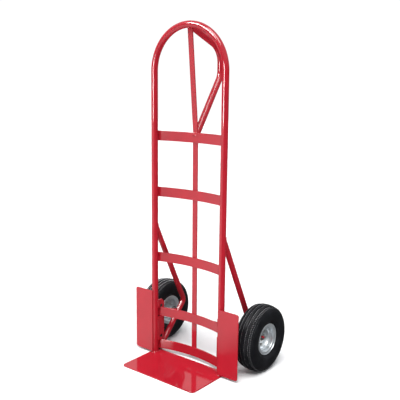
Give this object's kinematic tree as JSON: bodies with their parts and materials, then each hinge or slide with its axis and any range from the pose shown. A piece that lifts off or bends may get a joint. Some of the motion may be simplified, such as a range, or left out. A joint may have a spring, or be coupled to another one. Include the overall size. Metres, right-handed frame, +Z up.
{
  "type": "hand truck",
  "caption": "Two-wheeled hand truck: tubular loop frame with bowed crossbars, a P-shaped rear handle, a flat toe plate, wheel guards and pneumatic wheels.",
  "frame": {"origin": "on the floor, half way between the legs, in the plane of the legs' axes, on the underside of the toe plate", "axes": "+Z up, +Y to the rear, where the handle and the wheels are, +X across the truck to its right wheel as seen from the rear of the loop"},
  "size_m": [0.5796, 0.4599, 1.3087],
  "materials": {
    "red_paint": "gloss red enamel",
    "galvanised": "bright zinc-plated pressed steel",
    "zinc_fastener": "zinc-plated steel",
    "bearing_steel": "ground steel",
    "tyre_rubber": "moulded black rubber",
    "tube_rubber": "smooth black rubber",
    "seal_rubber": "matt black rubber",
    "cap_plastic": "matt black plastic"
  },
  "bodies": {
    "frame": {"axle": "red_paint", "centre_strap": "red_paint", "crossbar_1": "red_paint", "crossbar_2": "red_paint", "crossbar_3": "red_paint", "crossbar_4": "red_paint", "crossbar_5": "red_paint", "left_axle_brace": "red_paint", "left_axle_spacer": "red_paint", "left_cotter_pin": "zinc_fastener", "left_inner_washer": "zinc_fastener", "left_outer_washer": "zinc_fastener", "left_side_bracket": "red_paint", "left_wheel_guard": "red_paint", "loop_tube": "red_paint", "p_handle": "red_paint", "right_axle_brace": "red_paint", "right_axle_spacer": "red_paint", "right_cotter_pin": "zinc_fastener", "right_inner_washer": "zinc_fastener", "right_outer_washer": "zinc_fastener", "right_side_bracket": "red_paint", "right_wheel_guard": "red_paint", "toe_plate": "red_paint"},
    "left_wheel": {"left_bearing_balls": "bearing_steel", "left_bearing_inner_races": "bearing_steel", "left_bearing_outer_races": "bearing_steel", "left_bearing_shields": "seal_rubber", "left_hub": "galvanised", "left_inner_tube": "tube_rubber", "left_rim_bolts": "zinc_fastener", "left_rim_inner_half": "galvanised", "left_rim_nuts": "zinc_fastener", "left_rim_outer_half": "galvanised", "left_tyre": "tyre_rubber", "left_valve_cap": "cap_plastic", "left_valve_stem": "tube_rubber"},
    "right_wheel": {"right_bearing_balls": "bearing_steel", "right_bearing_inner_races": "bearing_steel", "right_bearing_outer_races": "bearing_steel", "right_bearing_shields": "seal_rubber", "right_hub": "galvanised", "right_inner_tube": "tube_rubber", "right_rim_bolts": "zinc_fastener", "right_rim_inner_half": "galvanised", "right_rim_nuts": "zinc_fastener", "right_rim_outer_half": "galvanised", "right_tyre": "tyre_rubber", "right_valve_cap": "cap_plastic", "right_valve_stem": "tube_rubber"}
  },
  "joints": [
    {"name": "left_wheel_spin", "type": "hinge", "parent": "frame", "child": "left_wheel", "pos_m": [-0.2452, 0.1484, 0.13], "axis": [1, 0, 0], "continuous": true},
    {"name": "right_wheel_spin", "type": "hinge", "parent": "frame", "child": "right_wheel", "pos_m": [0.2452, 0.1484, 0.13], "axis": [1, 0, 0], "continuous": true}
  ]
}
